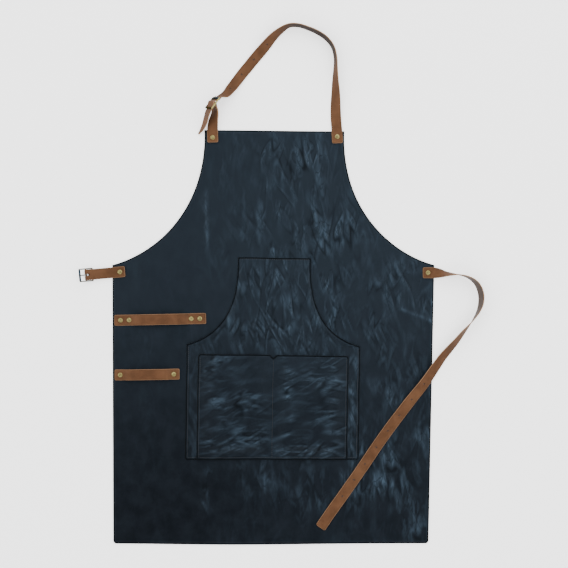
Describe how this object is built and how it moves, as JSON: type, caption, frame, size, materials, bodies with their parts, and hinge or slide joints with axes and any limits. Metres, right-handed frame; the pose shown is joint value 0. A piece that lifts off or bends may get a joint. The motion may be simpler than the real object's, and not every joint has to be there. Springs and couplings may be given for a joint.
{
  "type": "artist smock apron",
  "caption": "Navy leather craft apron with riveted tan neck and waist straps, centre-bar buckles, two tool loops and a double pocket on a kangaroo pocket, lying flat.",
  "frame": {"origin": "on the centre line of the apron's back face, level with the waist corners", "axes": "+Y towards the top edge of the bib, +Z out of the front face, +X to the right as seen from the front"},
  "size_m": [0.755, 0.9679, 0.0284],
  "materials": {
    "navy_leather": "waxed crackled grain, semi-matt",
    "navy_pocket_leather": "waxed crackled grain, semi-matt, with burnished creases",
    "tan_leather": "smooth grain, semi-matt, raw cut edges",
    "thread": "waxed thread, matt",
    "antique_brass": "antiqued, satin, worn bright on high spots",
    "gunmetal": "dark satin plating"
  },
  "bodies": {
    "root": {"apron_body": "navy_leather", "kangaroo_pocket": "navy_pocket_leather", "front_pocket": "navy_pocket_leather", "kangaroo_pocket_thread": "thread", "front_pocket_thread": "thread", "upper_tool_loop": "tan_leather", "lower_tool_loop": "tan_leather", "upper_loop_rivet_caps": "antique_brass", "upper_loop_rivet_backs": "antique_brass", "lower_loop_rivet_caps": "antique_brass", "lower_loop_rivet_backs": "antique_brass", "neck_strap_short": "tan_leather", "neck_strap_long": "tan_leather", "neck_left_rivet_cap": "antique_brass", "neck_left_rivet_back": "antique_brass", "neck_right_rivet_cap": "antique_brass", "neck_right_rivet_back": "antique_brass", "waist_left_rivet_cap": "antique_brass", "waist_left_rivet_back": "antique_brass", "waist_right_rivet_cap": "antique_brass", "waist_right_rivet_back": "antique_brass", "neck_buckle_frame": "antique_brass"},
    "neck_roller": {"neck_buckle_roller": "gunmetal"},
    "neck_prong": {"neck_buckle_prong": "antique_brass"},
    "waist_short_strap": {"waist_strap_short": "tan_leather"},
    "waist_buckle": {"waist_buckle_frame": "antique_brass"},
    "waist_roller": {"waist_buckle_roller": "gunmetal"},
    "waist_prong": {"waist_buckle_prong": "antique_brass"},
    "waist_long_strap": {"waist_strap_long": "tan_leather"}
  },
  "joints": [
    {"name": "waist_left_strap_swivel", "type": "hinge", "parent": "root", "child": "waist_short_strap", "pos_m": [-0.287, -0.013, 0.0031], "axis": [0, 0, 1], "range_deg": [-50, 50]},
    {"name": "waist_right_strap_swivel", "type": "hinge", "parent": "root", "child": "waist_long_strap", "pos_m": [0.288, -0.0145, 0.0026], "axis": [0, 0, 1], "range_deg": [0, 60]},
    {"name": "waist_buckle_hinge", "type": "hinge", "parent": "waist_short_strap", "child": "waist_buckle", "pos_m": [-0.34974, -0.01871, 0.006], "axis": [-0.0906, 0.9959, 0], "range_deg": [0, 70]},
    {"name": "waist_prong_hinge", "type": "hinge", "parent": "waist_buckle", "child": "waist_prong", "pos_m": [-0.34974, -0.01871, 0.006], "axis": [-0.0906, 0.9959, 0], "range_deg": [0, 50]},
    {"name": "waist_roller_spin", "type": "hinge", "parent": "waist_buckle", "child": "waist_roller", "pos_m": [-0.36082, -0.01972, 0.0105], "axis": [-0.0906, 0.9959, 0], "continuous": true},
    {"name": "neck_roller_spin", "type": "hinge", "parent": "root", "child": "neck_roller", "pos_m": [-0.10682, 0.31054, 0.0119], "axis": [0.5518, -0.1359, 0.8229], "continuous": true},
    {"name": "neck_prong_play", "type": "hinge", "parent": "root", "child": "neck_prong", "pos_m": [-0.1135, 0.301, 0.0148], "axis": [0.5518, -0.1359, 0.8229], "range_deg": [0, 3]}
  ]
}
